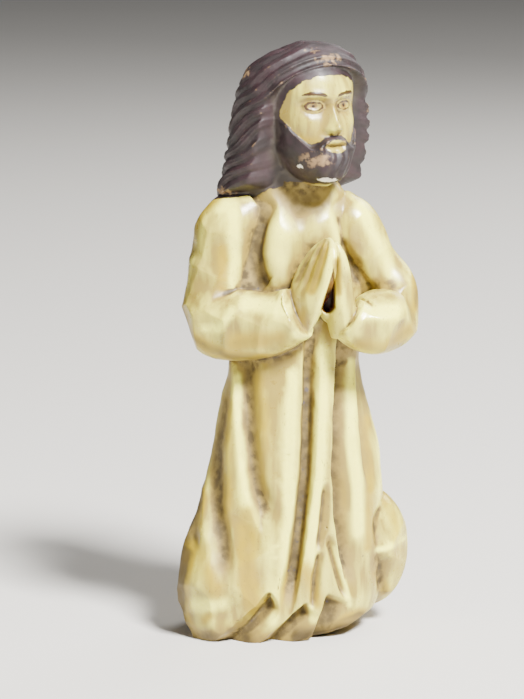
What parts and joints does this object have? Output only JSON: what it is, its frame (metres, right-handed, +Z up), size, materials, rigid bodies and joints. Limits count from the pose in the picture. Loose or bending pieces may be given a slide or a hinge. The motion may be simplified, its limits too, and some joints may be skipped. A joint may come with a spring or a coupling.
{
  "type": "kneeling praying figure",
  "caption": "Small figure carved from one piece of bone: a kneeling, bearded person in a long pleated robe with palms joined in prayer, hair and beard painted dark.",
  "frame": {"origin": "centre of the figure's box, on the flat underside that it stands on", "axes": "+Z up through the standing figure, -Y the side that the robe's front, the hands and the face look to, +X the figure's own left"},
  "size_m": [0.0248, 0.0172, 0.06],
  "materials": {
    "bone": "polished old bone, satin to semi-gloss, with dark paint on hair and beard"
  },
  "bodies": {
    "root": {"kneeling_figure": "bone"}
  },
  "joints": []
}
